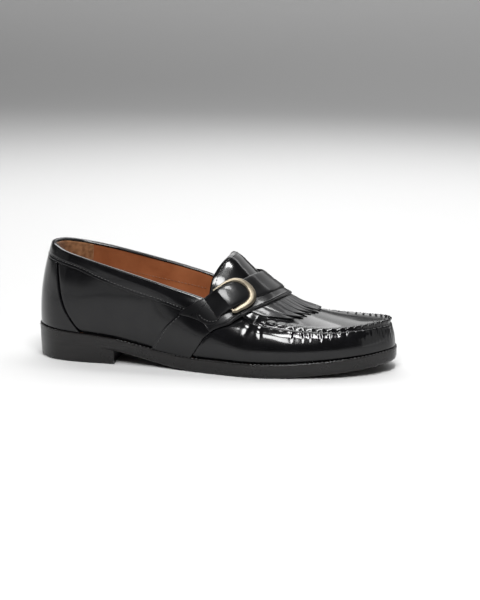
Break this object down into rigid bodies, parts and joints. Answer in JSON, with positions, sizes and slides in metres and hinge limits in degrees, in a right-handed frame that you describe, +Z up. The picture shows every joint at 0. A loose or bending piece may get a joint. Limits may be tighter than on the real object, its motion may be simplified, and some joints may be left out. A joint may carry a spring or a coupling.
{
  "type": "buckle loafer",
  "caption": "Black leather loafer for the right foot with a moccasin apron, a fringed kiltie, a saddle strap with a D buckle and a low stacked heel.",
  "frame": {"origin": "on the floor under the centre of the shoe's bounding box", "axes": "+X to the toe, +Y to the inner side of the foot, +Z up"},
  "size_m": [0.27, 0.0916, 0.0862],
  "materials": {
    "sole_leather": "black burnished edge",
    "heel_stack": "black burnished edge",
    "lining_leather": "smooth tan",
    "upper_leather": "high-shine black",
    "buckle_metal": "polished pale gold plate"
  },
  "bodies": {
    "root": {"outsole": "sole_leather", "heel": "heel_stack", "insole": "lining_leather", "upper": "upper_leather", "collar_band": "upper_leather", "counter": "upper_leather", "kiltie": "upper_leather", "saddle": "upper_leather", "saddle_outer_side": "upper_leather", "saddle_inner_side": "upper_leather", "strap": "upper_leather", "buckle_tab": "upper_leather", "buckle": "buckle_metal"}
  },
  "joints": []
}
